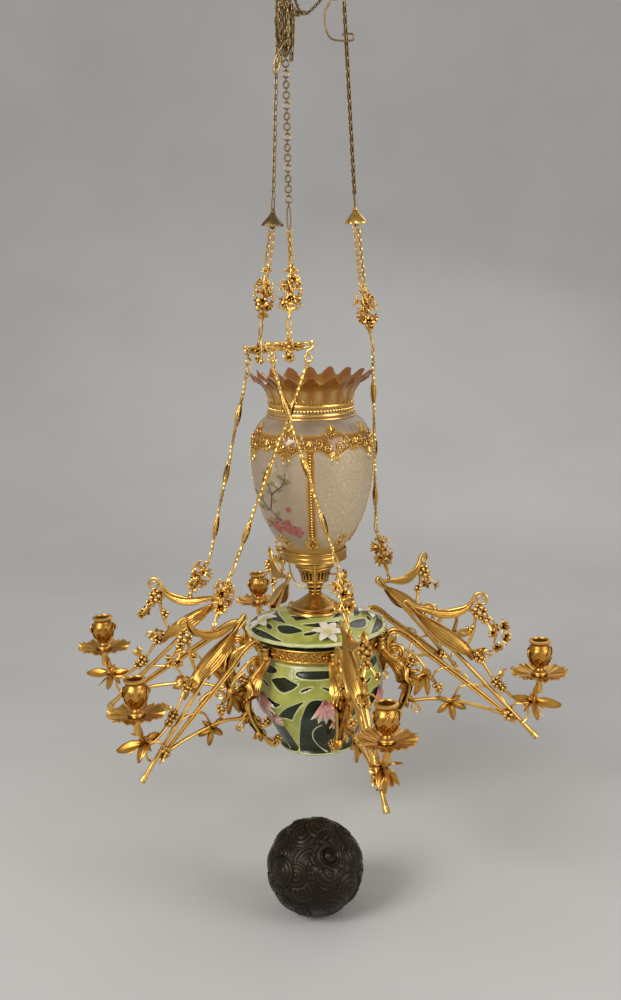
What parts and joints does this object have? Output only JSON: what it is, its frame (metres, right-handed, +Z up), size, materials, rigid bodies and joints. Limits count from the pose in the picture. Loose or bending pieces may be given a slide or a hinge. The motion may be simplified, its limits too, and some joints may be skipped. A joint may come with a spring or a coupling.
{
  "type": "hanging kerosene lamp",
  "caption": "Gilt hanging oil lamp: a glazed pot in a ring of scrolling candle arms, a ruffled glass globe, and chains over pulleys.",
  "frame": {"origin": "middle of the ceiling plate's flat top face", "axes": "+Z up, -Y towards the viewer, +X to the viewer's right"},
  "size_m": [0.7677, 0.7619, 1.333],
  "materials": {
    "gilt": "gilded cast brass, worn dark in the hollows",
    "dark_brass": "brass that has gone brown with age",
    "satin_brass": "polished brass with a soft sheen",
    "green_glaze": "light green and dark green glazes with cream outlines",
    "frosted_glass": "frosted glass with an amber crown and a gilt border",
    "clear_glass": "clear glass",
    "cotton": "woven cotton",
    "dark_iron": "dark bronzed casting with a pattern of waves"
  },
  "bodies": {
    "ceiling": {"ceiling_plate": "dark_brass", "pulley_frame": "dark_brass", "gathered_chains": "dark_brass", "upper_chain_front": "dark_brass", "upper_chain_right": "dark_brass", "upper_chain_left": "dark_brass"},
    "pulley_front": {"pulley_front": "dark_brass"},
    "pulley_right": {"pulley_right": "dark_brass"},
    "pulley_left": {"pulley_left": "dark_brass"},
    "lamp": {"twin_chain_front": "gilt", "rosette_front": "gilt", "spreader_front": "gilt", "chain_cap_right": "gilt", "twin_chain_right": "gilt", "rosette_right": "gilt", "chain_cap_left": "gilt", "twin_chain_left": "gilt", "rosette_left": "gilt", "spreader_left": "gilt", "rod_chain_front_right": "gilt", "pendant_front_right": "gilt", "rod_chain_front_left": "gilt", "pendant_front_left": "gilt", "rod_chain_left": "gilt", "pendant_left": "gilt", "rod_chain_back_right": "gilt", "pendant_back_right": "gilt", "rod_chain_back_left": "gilt", "pendant_back_left": "gilt", "carrier_ring": "gilt", "arm_front_right": "gilt", "drip_pan_front_right": "gilt", "candle_cup_front_right": "gilt", "arm_right": "gilt", "drip_pan_right": "gilt", "candle_cup_right": "gilt", "arm_back_right": "gilt", "arm_back_left": "gilt", "drip_pan_back_left": "gilt", "candle_cup_back_left": "gilt", "arm_left": "gilt", "drip_pan_left": "gilt", "candle_cup_left": "gilt", "arm_front_left": "gilt", "drip_pan_front_left": "gilt", "candle_cup_front_left": "gilt", "pot": "green_glaze", "pot_lid": "green_glaze", "oil_font": "satin_brass", "lamp_foot": "satin_brass", "burner": "satin_brass", "shade_holder": "satin_brass"},
    "wick": {"wick": "cotton"},
    "wick_knob": {"wick_knob": "satin_brass"},
    "chimney": {"chimney": "clear_glass"},
    "shade": {"glass_shade": "frosted_glass"},
    "counterweight": {"counterweight_upper": "dark_iron", "counterweight_lower": "dark_iron", "counterweight_plug": "dark_brass"}
  },
  "joints": [
    {"name": "lamp_lift", "type": "slide", "parent": "ceiling", "child": "lamp", "axis": [0, 0, 1], "range_m": [0, 0.2], "deforming": ["upper_chain_front", "upper_chain_right", "upper_chain_left"]},
    {"name": "pulley_spin_front", "type": "hinge", "parent": "ceiling", "child": "pulley_front", "pos_m": [-0.01952, -0.04385, -0.068], "axis": [-0.9135, 0.4067, 0], "range_deg": [0, 920]},
    {"name": "pulley_spin_right", "type": "hinge", "parent": "ceiling", "child": "pulley_right", "pos_m": [0.04788, 0.00335, -0.068], "axis": [0.0698, -0.9976, 0], "range_deg": [0, 920]},
    {"name": "pulley_spin_left", "type": "hinge", "parent": "ceiling", "child": "pulley_left", "pos_m": [-0.02821, 0.03883, -0.068], "axis": [0.809, 0.5878, 0], "range_deg": [0, 920]},
    {"name": "knob_turn", "type": "hinge", "parent": "lamp", "child": "wick_knob", "pos_m": [0, 0, -0.925], "axis": [0.9135, -0.4067, 0], "range_deg": [-90, 90]},
    {"name": "wick_slide", "type": "slide", "parent": "lamp", "child": "wick", "axis": [0, 0, 1], "range_m": [-0.0064, 0.0064]},
    {"name": "chimney_lift", "type": "slide", "parent": "lamp", "child": "chimney", "axis": [0, 0, 1], "range_m": [0, 0.03]},
    {"name": "shade_lift", "type": "slide", "parent": "lamp", "child": "shade", "axis": [0, 0, 1], "range_m": [0, 0.016]},
    {"name": "counterweight_lift", "type": "slide", "parent": "ceiling", "child": "counterweight", "axis": [0, 0, 1], "range_m": [0, 0.1]}
  ],
  "couplings": [
    {"joint": "pulley_spin_front", "follows": "lamp_lift", "rad_per_m": 80},
    {"joint": "pulley_spin_right", "follows": "lamp_lift", "rad_per_m": 80},
    {"joint": "pulley_spin_left", "follows": "lamp_lift", "rad_per_m": 80},
    {"joint": "wick_slide", "follows": "knob_turn", "m_per_rad": 0.004}
  ]
}
